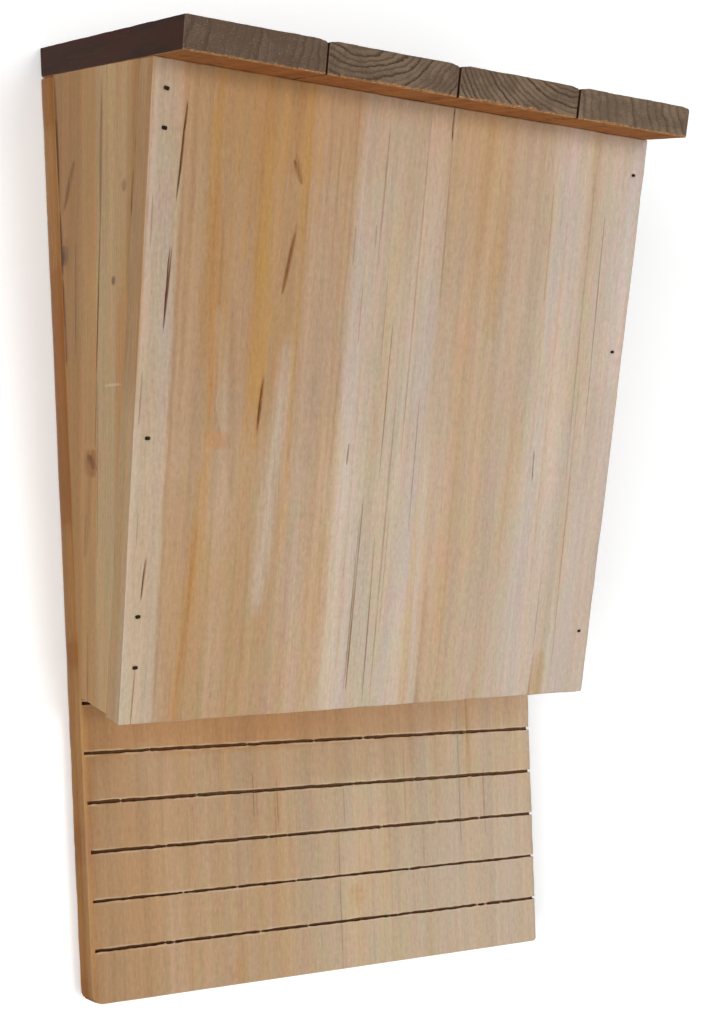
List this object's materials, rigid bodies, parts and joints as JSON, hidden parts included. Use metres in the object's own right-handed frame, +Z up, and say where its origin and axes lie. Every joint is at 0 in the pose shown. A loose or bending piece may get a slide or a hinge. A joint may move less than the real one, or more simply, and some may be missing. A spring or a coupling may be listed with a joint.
{
  "type": "bat box",
  "caption": "Wall-hung bat box: nailed softwood boards, a leaning front over a narrow slot at the foot, a grooved landing board below it, and a dark sloping plank roof.",
  "frame": {"origin": "on the flat rear face where the box meets the wall, at mid-width and 170 mm above the back board's foot, which is half the overall height", "axes": "+Z up, front of the box faces -Y, +Y points into the wall, X runs across the box"},
  "size_m": [0.196, 0.1194, 0.34],
  "materials": {
    "box_wood": "sawn softwood, weathered and unpainted",
    "side_wood": "sawn softwood, weathered and unpainted, a little darker",
    "roof_wood": "dark stained softwood, weathered to grey brown",
    "nail_steel": "dull, darkened with rust",
    "zinc_steel": "zinc plated"
  },
  "bodies": {
    "root": {"back_board": "box_wood", "left_side": "side_wood", "right_side": "side_wood", "front_panel": "box_wood", "roof_plank_1": "roof_wood", "roof_plank_2": "roof_wood", "roof_plank_3": "roof_wood", "roof_plank_4": "roof_wood", "hanger_plate": "zinc_steel", "hanger_screw_left": "zinc_steel", "hanger_screw_right": "zinc_steel", "front_nail_left_1": "nail_steel", "front_nail_left_2": "nail_steel", "front_nail_left_3": "nail_steel", "front_nail_left_4": "nail_steel", "front_nail_left_5": "nail_steel", "front_nail_right_1": "nail_steel", "front_nail_right_2": "nail_steel", "front_nail_right_3": "nail_steel", "back_nail_left_1": "nail_steel", "back_nail_left_2": "nail_steel", "back_nail_left_3": "nail_steel", "back_nail_right_1": "nail_steel", "back_nail_right_2": "nail_steel", "back_nail_right_3": "nail_steel", "roof_nail_back_1": "nail_steel", "roof_nail_back_2": "nail_steel", "roof_nail_back_3": "nail_steel", "roof_nail_back_4": "nail_steel", "roof_nail_front_1": "nail_steel", "roof_nail_front_2": "nail_steel", "roof_nail_front_3": "nail_steel", "roof_nail_front_4": "nail_steel", "roof_nail_side_1": "nail_steel", "roof_nail_side_2": "nail_steel"}
  },
  "joints": []
}
